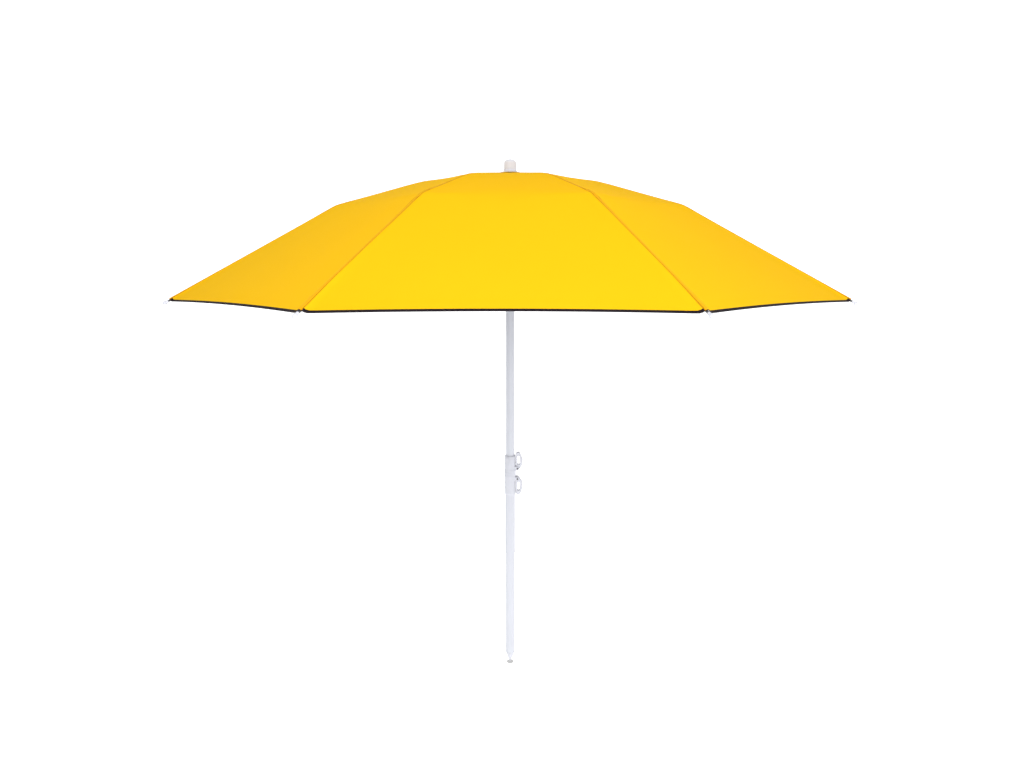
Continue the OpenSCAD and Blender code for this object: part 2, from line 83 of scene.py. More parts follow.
class Recipe:
    """A material under construction: a Principled shader and short calls that add nodes to it."""

    def __init__(self, name: str) -> None:
        """Starts an empty material with one Principled shader."""
        self.material = bpy.data.materials.new(name)
        self.material.use_nodes = True
        self.tree = self.material.node_tree
        self.tree.nodes.clear()
        self.output = self.tree.nodes.new("ShaderNodeOutputMaterial")
        self.shader = self.tree.nodes.new("ShaderNodeBsdfPrincipled")
        self.link(self.shader.outputs["BSDF"], self.output.inputs["Surface"])

    def link(self, source: bpy.types.NodeSocket, target: bpy.types.NodeSocket) -> None:
        """Joins two sockets."""
        self.tree.links.new(source, target)

    def set(self, **values: float | tuple) -> None:
        """Sets constant values on the shader's own sockets; an underscore stands for a space."""
        for key, value in values.items():
            self.shader.inputs[key.replace("_", " ")].default_value = value

    def node(self, kind: str, **inputs: object) -> bpy.types.Node:
        """Adds a node.

        Args:
            kind: the node's type, without the ShaderNode prefix.
            inputs: socket values or links, with an underscore for a space.

        Returns:
            The new node.
        """
        made = self.tree.nodes.new("ShaderNode" + kind)
        for key, value in inputs.items():
            socket = made.inputs[key.replace("_", " ")]
            if isinstance(value, bpy.types.NodeSocket):
                self.link(value, socket)
            else:
                socket.default_value = value
        return made

    def place(self) -> bpy.types.NodeSocket:
        """Object coordinates, in metres."""
        return self.node("TexCoord").outputs["Object"]

    def surface(self) -> bpy.types.NodeSocket:
        """The piece's own UV map, whose units are metres of cloth."""
        made = self.node("UVMap")
        made.uv_map = "cloth"
        return made.outputs["UV"]

    def noise(self, vector: bpy.types.NodeSocket, scale: float, detail: float = 3.0) -> bpy.types.NodeSocket:
        """Fractal noise between 0 and 1."""
        return self.node("TexNoise", Vector=vector, Scale=scale, Detail=detail).outputs["Fac"]

    def bands(self, vector: bpy.types.NodeSocket, axis: str, period: float) -> bpy.types.NodeSocket:
        """Sine bands across one axis, one band for each period in metres."""
        made = self.node("TexWave", Vector=vector, Scale=2 * math.pi / 20 / period)
        made.bands_direction = axis
        made.wave_profile = "SIN"
        return made.outputs["Fac"]

    def math(self, operation: str, a: object, b: object = 0.0) -> bpy.types.NodeSocket:
        """One arithmetic node of two values."""
        made = self.tree.nodes.new("ShaderNodeMath")
        made.operation = operation
        for socket, value in zip(made.inputs, (a, b)):
            if isinstance(value, bpy.types.NodeSocket):
                self.link(value, socket)
            else:
                socket.default_value = value
        return made.outputs[0]

    def ramp(self, value: bpy.types.NodeSocket, low: float, high: float) -> bpy.types.NodeSocket:
        """Maps 0..1 to low..high."""
        made = self.node("MapRange", Value=value)
        made.inputs["To Min"].default_value = low
        made.inputs["To Max"].default_value = high
        return made.outputs["Result"]

    def blend(self, share: bpy.types.NodeSocket, a: tuple, b: tuple) -> bpy.types.NodeSocket:
        """Mixes two colours by a share."""
        made = self.tree.nodes.new("ShaderNodeMix")
        made.data_type = "RGBA"
        self.link(share, made.inputs[0])
        made.inputs[6].default_value = (*a, 1.0)
        made.inputs[7].default_value = (*b, 1.0)
        return made.outputs[2]

    def bump(self, height: bpy.types.NodeSocket, distance: float, strength: float = 1.0) -> None:
        """Raises the surface by height times distance, in metres."""
        made = self.node("Bump", Height=height, Distance=distance, Strength=strength)
        self.link(made.outputs["Normal"], self.shader.inputs["Normal"])


@dataclass(frozen=True)
class WovenCloth:
    """Plain-woven polyester: threads over and under each other, with a little slub and tone variation."""

    name: str
    light: tuple[float, float, float]
    deep: tuple[float, float, float]
    roughness: float = 0.8
    sheen: float = 0.0
    thread: float = 0.55 * MM
    relief: float = 0.06 * MM

    def build(self) -> bpy.types.Material:
        """Makes the material: warp and weft bands multiplied into a basket relief, tone from two noises."""
        recipe = Recipe(self.name)
        cloth = recipe.surface()
        warp = recipe.bands(cloth, "X", self.thread)
        weft = recipe.bands(cloth, "Y", self.thread)
        weave = recipe.math("ADD", recipe.math("MULTIPLY", warp, 0.5), recipe.math("MULTIPLY", weft, 0.5))
        slub = recipe.noise(cloth, 420.0, 2.0)
        tone = recipe.noise(recipe.place(), 3.2, 4.0)
        share = recipe.math("ADD", recipe.math("MULTIPLY", slub, 0.3), recipe.math("MULTIPLY", tone, 0.7))
        recipe.link(recipe.blend(share, self.deep, self.light), recipe.shader.inputs["Base Color"])
        rough = recipe.ramp(slub, self.roughness - 0.05, self.roughness + 0.06)
        recipe.link(rough, recipe.shader.inputs["Roughness"])
        recipe.set(Sheen_Weight=self.sheen, Sheen_Roughness=0.5, Specular_IOR_Level=0.02)
        recipe.bump(recipe.math("ADD", weave, recipe.math("MULTIPLY", slub, 0.6)), self.relief)
        return recipe.material


@dataclass(frozen=True)
class SewnBand:
    """A folded band of cloth with two rows of stitching along it, which on the seam are also painted shadow lines at
    its edges; its UV runs across in X and along in Y.
    """

    name: str
    cloth: tuple[float, float, float]
    thread: tuple[float, float, float]
    width: float
    stitch: float = 2.6 * MM
    rows: tuple[float, float] = (0.2, 0.8)
    thick: float = 0.34 * MM

    def build(self) -> bpy.types.Material:
        """Makes the material: a stitch shows where a row's narrow stripe meets the on-part of the stitch length; on
        the seam these dark rows are painted shadow lines as well as thread.
        """
        recipe = Recipe(self.name)
        cloth = recipe.surface()
        across = recipe.node("SeparateXYZ", Vector=cloth).outputs["X"]
        dash = recipe.math("GREATER_THAN", recipe.bands(cloth, "Y", self.stitch), 0.16)
        stripes = None
        for row in self.rows:
            gap = recipe.math("ABSOLUTE", recipe.math("SUBTRACT", across, (row - 0.5) * self.width))
            stripe = recipe.math("LESS_THAN", gap, self.thick)
            stripes = stripe if stripes is None else recipe.math("MAXIMUM", stripes, stripe)
        stitches_and_shadow_lines = recipe.math("MULTIPLY", stripes, dash)
        recipe.link(recipe.blend(stitches_and_shadow_lines, self.cloth, self.thread), recipe.shader.inputs["Base Color"])
        pucker = recipe.math("MULTIPLY", recipe.bands(cloth, "Y", 2 * self.stitch), 0.35)
        weave = recipe.math("MULTIPLY", recipe.bands(cloth, "X", 0.5 * MM), 0.15)
        height = recipe.math("ADD", recipe.math("ADD", pucker, weave), stitches_and_shadow_lines)
        recipe.set(Roughness=0.8, Specular_IOR_Level=0.1)
        recipe.bump(height, 0.25 * MM)
        return recipe.material


@dataclass(frozen=True)
class PowderCoat:
    """White powder coat on a metal tube: a fine orange peel, satin gloss, faint handling marks."""

    name: str
    light: tuple[float, float, float]
    deep: tuple[float, float, float]

    def build(self) -> bpy.types.Material:
        """Makes the material: peel from fine noise, marks from noise stretched round the tube."""
        recipe = Recipe(self.name)
        place = recipe.place()
        peel = recipe.noise(place, 900.0, 2.0)
        cloud = recipe.noise(place, 14.0, 3.0)
        stretched = recipe.node("Mapping", Vector=place, Scale=(40.0, 40.0, 600.0)).outputs["Vector"]
        marks = recipe.noise(stretched, 1.0, 2.0)
        recipe.link(recipe.blend(cloud, self.deep, self.light), recipe.shader.inputs["Base Color"])
        recipe.link(recipe.ramp(marks, 0.26, 0.42), recipe.shader.inputs["Roughness"])
        recipe.set(Coat_Weight=0.12, Coat_Roughness=0.15, Specular_IOR_Level=0.4)
        recipe.bump(peel, 0.03 * MM)
        return recipe.material


@dataclass(frozen=True)
class MouldedPlastic:
    """Injection-moulded plastic: a fine spark-eroded grain and slight flow clouds."""

    name: str
    light: tuple[float, float, float]
    deep: tuple[float, float, float]
    roughness: float = 0.42

    def build(self) -> bpy.types.Material:
        """Makes the material: grain relief from a cell pattern, tone and gloss from slow noise."""
        recipe = Recipe(self.name)
        place = recipe.place()
        cells = recipe.node("TexVoronoi", Vector=place, Scale=1400.0).outputs["Distance"]
        cloud = recipe.noise(place, 30.0, 3.0)
        recipe.link(recipe.blend(cloud, self.deep, self.light), recipe.shader.inputs["Base Color"])
        rough = recipe.ramp(cloud, self.roughness - 0.06, self.roughness + 0.08)
        recipe.link(rough, recipe.shader.inputs["Roughness"])
        recipe.set(Specular_IOR_Level=0.45)
        recipe.bump(cells, 0.035 * MM)
        return recipe.material


@dataclass(frozen=True)
class WorkedSteel:
    """Plated or blackened steel: drawn lines, mottled plating and rubbed gloss."""

    name: str
    light: tuple[float, float, float]
    deep: tuple[float, float, float]
    roughness: float

    def build(self) -> bpy.types.Material:
        """Makes the material: mottle from cells, drawn lines from stretched noise."""
        recipe = Recipe(self.name)
        place = recipe.place()
        mottle = recipe.node("TexVoronoi", Vector=place, Scale=260.0).outputs["Distance"]
        lines = recipe.noise(recipe.node("Mapping", Vector=place, Scale=(900.0, 900.0, 60.0)).outputs["Vector"], 1.0)
        recipe.link(recipe.blend(mottle, self.deep, self.light), recipe.shader.inputs["Base Color"])
        rough = recipe.ramp(lines, self.roughness - 0.08, self.roughness + 0.1)
        recipe.link(rough, recipe.shader.inputs["Roughness"])
        recipe.set(Metallic=1.0)
        recipe.bump(lines, 0.02 * MM)
        return recipe.material


@dataclass(frozen=True)
class PultrudedRod:
    """Glass-fibre rod: long fibres under a resin skin."""

    name: str
    light: tuple[float, float, float]
    deep: tuple[float, float, float]

    def build(self) -> bpy.types.Material:
        """Makes the material: fibres from noise squeezed across the rods' plane, and a clear coat."""
        recipe = Recipe(self.name)
        place = recipe.place()
        stretched = recipe.node("Mapping", Vector=place, Scale=(300.0, 300.0, 1800.0)).outputs["Vector"]
        fibre = recipe.noise(stretched, 1.0)
        recipe.link(recipe.blend(fibre, self.deep, self.light), recipe.shader.inputs["Base Color"])
        recipe.set(Roughness=0.38, Coat_Weight=0.4, Coat_Roughness=0.2)
        recipe.bump(fibre, 0.02 * MM)
        return recipe.material


@dataclass
class Finishes:
    """Every finish of the umbrella, made once."""

    cloth: bpy.types.Material = field(init=False)
    lining: bpy.types.Material = field(init=False)
    seam: bpy.types.Material = field(init=False)
    binding: bpy.types.Material = field(init=False)
    by_slot: dict[Slot, bpy.types.Material] = field(init=False)

    def __post_init__(self) -> None:
        """Builds the materials."""
        self.cloth = WovenCloth("yellow_polyester", (0.91, 0.525, 0.007), (0.88, 0.49, 0.006)).build()
        self.lining = WovenCloth(
            "dark_coated_lining", (0.016, 0.013, 0.018), (0.009, 0.007, 0.010), 0.6, 0.0, relief=0.03 * MM
        ).build()
        # Painted shade: this seam band is darker than the cloth, and its dark rows near both edges, almost unbroken,
        # are painted shadow lines along the seam as well as thread.
        self.seam = SewnBand(
            "yellow_felled_seam_painted_shade",
            (0.80, 0.39, 0.005),
            (0.42, 0.17, 0.003),
            10 * MM,
            rows=(0.12, 0.88),
            thick=0.55 * MM,
        ).build()
        self.binding = SewnBand("dark_hem_binding", (0.011, 0.007, 0.010), (0.05, 0.04, 0.05), 9.0 * MM).build()
        self.by_slot = {
            Slot.TUBE: PowderCoat("white_powder_coat", (0.665, 0.68, 0.74), (0.635, 0.65, 0.71)).build(),
            Slot.WHITE: MouldedPlastic("white_moulded_plastic", (0.67, 0.68, 0.74), (0.64, 0.65, 0.71)).build(),
            Slot.DARK: MouldedPlastic("dark_moulded_plastic", (0.045, 0.045, 0.05), (0.028, 0.028, 0.032)).build(),
            Slot.BLACKENED: WorkedSteel("blackened_steel", (0.16, 0.16, 0.17), (0.09, 0.09, 0.10), 0.42).build(),
            Slot.ZINC: WorkedSteel("zinc_plated_steel", (0.66, 0.67, 0.69), (0.50, 0.51, 0.54), 0.34).build(),
            Slot.ROD: PultrudedRod("glass_fibre_rod", (0.075, 0.075, 0.08), (0.035, 0.035, 0.04)).build(),
        }


# ---------------------------------------------------------------- meshes


@dataclass
class Shell:
    """Vertices and quads gathered for one mesh, with a material number and a cloth coordinate for each."""

    points: list[np.ndarray] = field(default_factory=list)
    quads: list[np.ndarray] = field(default_factory=list)
    finish: list[np.ndarray] = field(default_factory=list)
    cloth: list[np.ndarray] = field(default_factory=list)
    count: int = 0

    def add(self, points: np.ndarray, quads: np.ndarray, finish: int, cloth: np.ndarray) -> None:
        """Adds a patch.

        Args:
            points: (n, 3) places.
            quads: (m, 4) corner numbers within the patch.
            finish: the material number of all its faces.
            cloth: (n, 2) cloth coordinates in metres.
        """
        self.points.append(points)
        self.quads.append(quads + self.count)
        self.finish.append(np.full(len(quads), finish))
        self.cloth.append(cloth)
        self.count += len(points)

    def build(self, name: str, materials: Sequence[bpy.types.Material], crease_deg: float = 40) -> bpy.types.Object:
        """Makes the object.

        Args:
            name: the piece's name.
            materials: its materials, by number.
            crease_deg: edges sharper than this stay sharp in shading.

        Returns:
            The new object, in the scene.
        """
        points = np.concatenate(self.points)
        quads = np.concatenate(self.quads)
        mesh = bpy.data.meshes.new(name)
        mesh.vertices.add(len(points))
        mesh.vertices.foreach_set("co", points.astype(np.float32).ravel())
        mesh.loops.add(quads.size)
        mesh.loops.foreach_set("vertex_index", quads.astype(np.int32).ravel())
        mesh.polygons.add(len(quads))
        mesh.polygons.foreach_set("loop_start", np.arange(0, quads.size, 4, dtype=np.int32))
        mesh.update(calc_edges=True)
        mesh.polygons.foreach_set("material_index", np.concatenate(self.finish).astype(np.int32))
        layer = mesh.uv_layers.new(name="cloth")
        layer.data.foreach_set("uv", np.concatenate(self.cloth)[quads.ravel()].astype(np.float32).ravel())
        for material in materials:
            mesh.materials.append(material)
        mesh.validate()
        mesh.shade_smooth()
        mesh.set_sharp_from_angle(angle=math.radians(crease_deg))
        piece = bpy.data.objects.new(name, mesh)
        bpy.context.scene.collection.objects.link(piece)
        return piece


def grid_quads(rows: int, columns: int, wrap: bool = False) -> np.ndarray:
    """Quads of a grid whose point (i, j) has the number i * columns + j.

    Args:
        rows: how many rows of points.
        columns: how many points in a row.
        wrap: join each row's last point to its first.

    Returns:
        (m, 4) corner numbers, counter-clockwise where rows run down and columns to the right seen from behind.
    """
    last = columns if wrap else columns - 1
    i, j = np.meshgrid(np.arange(rows - 1), np.arange(last), indexing="ij")
    k = (j + 1) % columns
    corners = [i * columns + j, (i + 1) * columns + j, (i + 1) * columns + k, i * columns + k]
    return np.stack(corners, -1).reshape(-1, 4)


def revolve(profile: Sequence[tuple[float, float]], turns: int = 96) -> tuple[np.ndarray, np.ndarray, np.ndarray]:
    """A closed profile of (radius, height) turned about Z: x = r cos t, y = r sin t, z = h.

    Args:
        profile: the outline, in order, closed on itself or with both ends on the axis.
        turns: points round the axis.

    Returns:
        Points, quads and cloth coordinates.
    """
    outline = np.array(profile, float)
    t = np.linspace(0, 2 * math.pi, turns, endpoint=False)
    radius, height = outline[:, :1], outline[:, 1:]
    points = np.stack([radius * np.cos(t), radius * np.sin(t), np.broadcast_to(height, (len(outline), turns))], -1)
    cloth = np.stack(np.broadcast_arrays(radius * t, height), -1)
    return points.reshape(-1, 3), grid_quads(len(outline), turns, wrap=True), cloth.reshape(-1, 2)


def arc(
    centre: tuple[float, float], radius: float, start: float, end: float, steps: int
) -> list[tuple[float, float]]:
    """Points of a round stretch of an outline, between two angles in degrees."""
    angles = np.radians(np.linspace(start, end, steps))
    return [(centre[0] + radius * math.cos(a), centre[1] + radius * math.sin(a)) for a in angles]


def tidy_normals(piece: bpy.types.Object, merge: float = 1e-6) -> None:
    """Merges doubled points, drops empty faces and turns the faces of a closed piece outwards."""
    work = bmesh.new()
    work.from_mesh(piece.data)
    bmesh.ops.remove_doubles(work, verts=work.verts, dist=merge)
    bmesh.ops.dissolve_degenerate(work, dist=1e-7, edges=work.edges)
    bmesh.ops.recalc_face_normals(work, faces=work.faces)
    work.to_mesh(piece.data)
    work.free()
    piece.data.update()


def dress(piece: bpy.types.Object, body: str, slot: Slot, *nodes: str) -> bpy.types.Object:
    """Makes a piece ride on a body and hides the CAD nodes that it stands for."""
    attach(piece, body)
    if nodes:
        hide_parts(*nodes)
    LOG.info("piece %s rides on %s", piece.name, body)
    return piece


# ---------------------------------------------------------------- canopy


@dataclass
class Canopy:
    """The sewn cloth: eight gores joined by felled seams over the ribs, dark inside, with a dark bound hem.

    Each rib carries the half gores on both its sides, one piece from the crown to the knee and one from the knee
    to the hem, so that the cloth folds with the two-part rib.
    """

    finishes: Finishes
    thickness: float = 0.5 * MM
    crown_slope: float = math.radians(8.5)
    crown_flat: float = 16 * MM
    knee_radius: float = 498 * MM
    knee_drop: float = 115.2 * MM
    bend_radius: float = 261 * MM
    bend_half: float = 40 * MM
    scallop: float = 6 * MM
    droop: float = 6.5 * MM
    droop_width: float = 7 * MM
    cad_droop: float = 4.8 * MM
    crown_rise: float = 2.4 * MM
    bend_easing: float = 1.2 * MM
    run_on: float = 50 * MM
    overrun: float = 200 * MM
    knuckle: tuple[float, float, float] = (1.1 * MM, 9 * MM, 6 * MM)
    tucks: tuple[tuple[float, float, float], ...] = ((0.13, 2.6, 0.075), (0.42, 1.4, 0.05), (0.85, 0.9, 0.035))
    tuck_spread: float = 0.07
    tuck_start: float = 8 * MM
    tension_height: float = 0.35 * MM
    tension_start: float = 80 * MM
    tension_from_rib: float = 20 * MM
    cad_thickness: float = 1.4 * MM
    inner_start: float = 24 * MM
    patch_radius: float = 30 * MM
    rib_softness: float = 5 * MM
    gore_softness: float = 34 * MM
    seam_width: float = 10 * MM
    seam_height: float = 0.7 * MM
    hem_middle: float = 6.0 * MM
    hem_corner: float = 6.8 * MM
    tape_over: float = 0.35 * MM
    sharp_fold: float = math.radians(40)
    sharp_tape: float = math.radians(50)
    inner_keep: float = 0.21
    outer_keep: float = 0.25

    def __post_init__(self) -> None:
        """Works out the cloth's line over a rib, sharp at the rib and softened for the middle of a gore."""
        low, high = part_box("canopy")
        self.crown_height = high.z
        self.corner_radius = high.x / math.cos(GORE_ANGLE / 2)
        corner_height = low.z + self.cad_thickness + self.cad_droop
        knee = self.crown_height - self.knee_drop
        bend = self._inner_line(self.bend_radius)
        before_bend = self.bend_radius - self.bend_half
        fall = (bend - knee) / (self.knee_radius - self.bend_radius)
        stops = [
            (-self.run_on, self.crown_height),
            (self.crown_flat, self.crown_height),
            (before_bend, self._inner_line(before_bend)),
            (self.bend_radius, bend - self.bend_easing),
            (self.bend_radius + self.bend_half, bend - self.bend_half * fall),
            (self.knee_radius, knee),
            (self.corner_radius, corner_height),
        ]
        slope = (corner_height - knee) / (self.corner_radius - self.knee_radius)
        stops.append((self.corner_radius + self.overrun, corner_height + self.overrun * slope))
        radii, heights = np.array(stops).T
        self.radii = np.arange(-self.run_on, self.corner_radius + self.overrun, 1 * MM)
        self.sharp = self._soften(np.interp(self.radii, radii, heights), self.rib_softness)
        self.soft = self._soften(np.interp(self.radii, radii, heights), self.gore_softness)

    def _inner_line(self, radius: float) -> float:
        """Height of the straight fall from the crown to the bend."""
        return self.crown_height + self.crown_rise - radius * math.tan(self.crown_slope)

    def _soften(self, heights: np.ndarray, spread: float) -> np.ndarray:
        """Averages a line of heights with a bell of the given spread, keeping its ends."""
        steps = np.arange(-4 * spread, 4 * spread + MM / 2, 1 * MM)
        bell = np.exp(-0.5 * (steps / spread) ** 2)
        pad = len(steps) // 2
        before = heights[0] + (heights[0] - heights[1]) * np.arange(pad, 0, -1)
        after = heights[-1] + (heights[-1] - heights[-2]) * np.arange(1, pad + 1)
        return np.convolve(np.concatenate([before, heights, after]), bell / bell.sum(), "valid")[: len(heights)]

    def _tucks(self, radius: np.ndarray, side: np.ndarray, share: np.ndarray, rib: int) -> np.ndarray:
        """Small relief of the stretched cloth.

        The knee's knuckle lifts it by a bell; short tucks run out from the knuckle, each a narrow bell in angle
        that dies away with distance; slow radial tension lines are sines across the gore. All of it fades to
        nothing at the middle of the gore, where the next rib's piece begins.

        Args:
            radius: distance from the pole.
            side: distance from the rib's plane, signed.
            share: that distance as a share of the gore, 0 at the rib and 0.5 at its middle.
            rib: the rib's number, which shifts the lines.

        Returns:
            The lift at each point.
        """
        out = radius - self.knee_radius
        reach = np.hypot(out, side) + 1e-6
        angle = np.arctan2(np.abs(side), np.abs(out) + 1e-9)
        height, long, wide = self.knuckle
        lift = height * np.exp(-((out / long) ** 2) - (side / wide) ** 2)
        turn = 0.07 * math.sin(2.1 * rib)
        for lean, size, length in self.tucks:
            ridge = np.exp(-(((angle - lean - turn * np.sign(side)) / self.tuck_spread) ** 2))
            lift += size * MM * ridge * np.exp(-reach / length) * reach / (reach + self.tuck_start)
        along = np.clip((radius - self.tension_start) / (self.corner_radius - self.tension_start), 0, 1)
        fade = (1 - (2 * np.abs(share)) ** 2) ** 2 * np.sin(math.pi * along) ** 0.8
        fade *= 1 - np.exp(-np.abs(side) / self.tension_from_rib)
        lines = np.sin(2 * math.pi * (np.abs(share) * 5.2 + 0.37 * rib)) + 0.6 * np.sin(
            2 * math.pi * (np.abs(share) * 9.1 + along * 1.3 + 0.21 * rib * np.sign(side))
        )
        return lift + self.tension_height * fade * lines

    def surface(self, radius: np.ndarray, share: np.ndarray, rib: int) -> np.ndarray:
        """The outside of the cloth near one rib.

        A point lies on the straight line between the rib and its neighbour at one radius: it is (1 - s) of the
        way from the rib's own point and s of the way to the neighbour's. Its height is the rib's line, blended
        into the softened line towards the middle of the gore, plus the tucks, less a droop that leaves the rib's
        own line standing as a ridge and grows with the square of the run from knee to hem.

        Args:
            radius: the radius along the rib.
            share: signed share of the gore, from -0.5 to 0.5.
            rib: the rib's number, from 1.

        Returns:
            Points in the row frame.
        """
        s = np.abs(share)
        run = np.clip((radius - self.knee_radius) / (self.corner_radius - self.knee_radius), 0, 1)
        r = radius - self.scallop * run**2 * 4 * s * (1 - s)
        x = r * (1 - s * (1 - math.cos(GORE_ANGLE)))
        y = r * share * math.sin(GORE_ANGLE)
        ease = np.clip(2 * s, 0, 1)
        ease = ease * ease * (3 - 2 * ease)
        z = (1 - ease) * np.interp(r, self.radii, self.sharp) + ease * np.interp(r, self.radii, self.soft)
        z = z + self._tucks(r, y, share, rib)
        z = z - self.droop * run**2 * (1 - np.exp(-((y / self.droop_width) ** 2)))
        a = azimuth(rib)
        return np.stack([x * math.cos(a) - y * math.sin(a), x * math.sin(a) + y * math.cos(a), z], -1)

    def normal(self, radius: np.ndarray, share: np.ndarray, rib: int) -> np.ndarray:
        """Outward unit normals, from small steps along the radius and across the gore."""
        step = 1e-4
        along = self.surface(radius + step, share, rib) - self.surface(radius - step, share, rib)
        across = self.surface(radius, share + step, rib) - self.surface(radius, share - step, rib)
        up = np.cross(along, across)
        up *= np.sign(up[..., 2:] + 1e-12)
        return up / np.linalg.norm(up, axis=-1, keepdims=True)

    def shell(self, radii: np.ndarray, rib: int) -> Shell:
        """The cloth between two radii round one rib: outside, inside and cut edges, and the seam over the rib.

        Args:
            radii: the rows' radii along the rib.
            rib: the rib's number.

        Returns:
            A closed shell with the cloth as material 0, the lining as 1 and the seam as 2.
        """
        made = Shell()
        half = np.concatenate([[0, 0.004, 0.009, 0.018, 0.032], np.linspace(0.05, 0.5, 22)])
        shares = np.concatenate([-half[:0:-1], half])
        radius, share = np.meshgrid(radii, shares, indexing="ij")
        outside = self.surface(radius, share, rib)
        inside = outside - self.thickness * self.normal(radius, share, rib)
        rows, columns = radius.shape
        run = np.concatenate([[0], np.cumsum(np.linalg.norm(np.diff(outside[:, columns // 2], axis=0), axis=-1))])
        cloth = np.stack([share * math.sin(GORE_ANGLE) * radius, np.broadcast_to(run[:, None], radius.shape)], -1)
        cloth = cloth.reshape(-1, 2)
        quads = grid_quads(rows, columns)
        both = np.concatenate([outside.reshape(-1, 3), inside.reshape(-1, 3)])
        size = rows * columns
        number = np.arange(size).reshape(rows, columns)
        rim = np.concatenate([number[0, :-1], number[:-1, -1], number[-1, :0:-1], number[:0:-1, 0]])
        following = np.roll(rim, -1)
        walls = np.stack([rim, following, following + size, rim + size], -1)
        faces = np.concatenate([quads, quads[:, ::-1] + size, walls])
        made.add(both, faces, 0, np.concatenate([cloth, cloth]))
        made.finish[-1][len(quads) : 2 * len(quads)] = 1
        self._seam(made, radii, run, rib)
        return made

    def _seam(self, made: Shell, radii: np.ndarray, run: np.ndarray, rib: int) -> None:
        """Adds the felled seam: a flat band with round edges, carried along the rib on the cloth.

        Across the band, at a share w of its width from -0.5 to 0.5, its height is the full height times the
        square root of 1 - (2w)^4, so that it is flat in the middle and drops at both edges. The band is widest at
        the knee and at the hem, by a bell round each.
        """
        spots = np.linspace(-0.5, 0.5, 13)
        height = self.seam_height * np.maximum(0, 1 - (2 * spots) ** 4) ** 0.5
        near_knee = np.exp(-(((radii - self.knee_radius) / 0.13) ** 2))
        near_hem = np.exp(-(((radii - self.corner_radius) / 0.06) ** 2))
        width = self.seam_width * (0.6 + 0.4 * np.maximum(near_knee, near_hem))
        radius = np.repeat(radii[:, None], len(spots), 1)
        share = spots[None, :] * width[:, None] / (np.maximum(radius, 0.02) * math.sin(GORE_ANGLE))
        base = self.surface(radius, share, rib)
        up = self.normal(radius, share, rib)
        top = base + up * height[None, :, None]
        under = base - 0.2 * MM * up
        loop = np.concatenate([top, under[:, ::-1]], 1)
        columns = loop.shape[1]
        quads = grid_quads(len(radii), columns, wrap=True)
        strip = np.arange(len(spots) - 1)
        ends = []
        for row, turned in ((0, False), (len(radii) - 1, True)):
            cap = row * columns + np.stack([strip, strip + 1, columns - 2 - strip, columns - 1 - strip], -1)
            ends.append(cap[:, ::-1] if turned else cap)
        wide = np.concatenate([spots, spots[::-1]]) * self.seam_width
        cloth = np.stack(np.broadcast_arrays(wide[None, :], run[:, None]), -1).reshape(-1, 2)
        made.add(loop.reshape(-1, 3), np.concatenate([quads, *ends]), 2, cloth)

    def binding(self, rib: int) -> Shell:
        """The hem's binding round one rib: a tape folded over the cloth's edge.

        At each place along the hem the section is a flat U: in over the outside by the tape's width, round the
        edge and back under the cloth. The width grows from the middle of a gore to the rib by a cube.
        """
        far = np.linspace(0.02, 0.5, 30)
        shares = np.concatenate([-np.linspace(0.5, 0.02, 30), [-0.012, -0.005, 0, 0.005, 0.012], far])
        edge_r = np.full_like(shares, self.corner_radius)
        edge = self.surface(edge_r, shares, rib)
        inner = self.surface(edge_r - 10 * MM, shares, rib)
        inward = (inner - edge) / np.linalg.norm(inner - edge, axis=-1, keepdims=True)
        up = self.normal(edge_r, shares, rib)
        width = self.hem_middle + (self.hem_corner - self.hem_middle) * (1 - 2 * np.abs(shares)) ** 3
        over, under = self.tape_over, self.thickness + self.tape_over
        middle, bulge = (over - under) / 2, (over + under) / 2
        section = [(1.0, 0.0, over * 0.4), (0.96, 0.0, over), (0.5, 0.0, over)]
        section += [(0.0, -bulge * math.sin(t), middle + bulge * math.cos(t)) for t in np.linspace(0, math.pi, 7)]
        section += [(0.5, 0.0, -under), (0.96, 0.0, -under), (1.0, 0.0, -under * 0.9)]
        parts = np.array(section)
        reach = parts[None, :, :1] * width[:, None, None] + parts[None, :, 1:2]
        points = edge[:, None] + reach * inward[:, None] + parts[None, :, 2:3] * up[:, None]
        length = np.concatenate([[0], np.cumsum(np.linalg.norm(np.diff(edge, axis=0), axis=-1))])
        round_it = np.concatenate([[0], np.cumsum(np.linalg.norm(np.diff(points[35], axis=0), axis=-1))])
        cloth = np.stack(np.broadcast_arrays(round_it[None, :] - round_it.mean(), length[:, None]), -1).reshape(-1, 2)
        rows, columns = points.shape[:2]
        quads = grid_quads(rows, columns, wrap=True)
        pairs = np.arange(columns // 2)
        caps = [
            base + np.stack([pairs[:-1], pairs[1:], columns - 2 - pairs[:-1], columns - 1 - pairs[:-1]], -1)
            for base in (0, (rows - 1) * columns)
        ]
        made = Shell()
        made.add(points.reshape(-1, 3), np.concatenate([quads, *caps]), 0, cloth)
        return made

    def cloth_area(self, inner: float, outer: float) -> tuple[float, float, float]:
        """Greatest width, length and flat area of the cloth between two radii round one rib."""
        radii = np.linspace(inner, outer, 60)
        spots = self.surface(radii, np.zeros_like(radii), 1)
        length = float(np.linalg.norm(np.diff(spots, axis=0), axis=-1).sum())
        widths = 2 * radii * math.sin(GORE_ANGLE / 2)
        return float(widths.max()), length, float(widths.mean() * length)

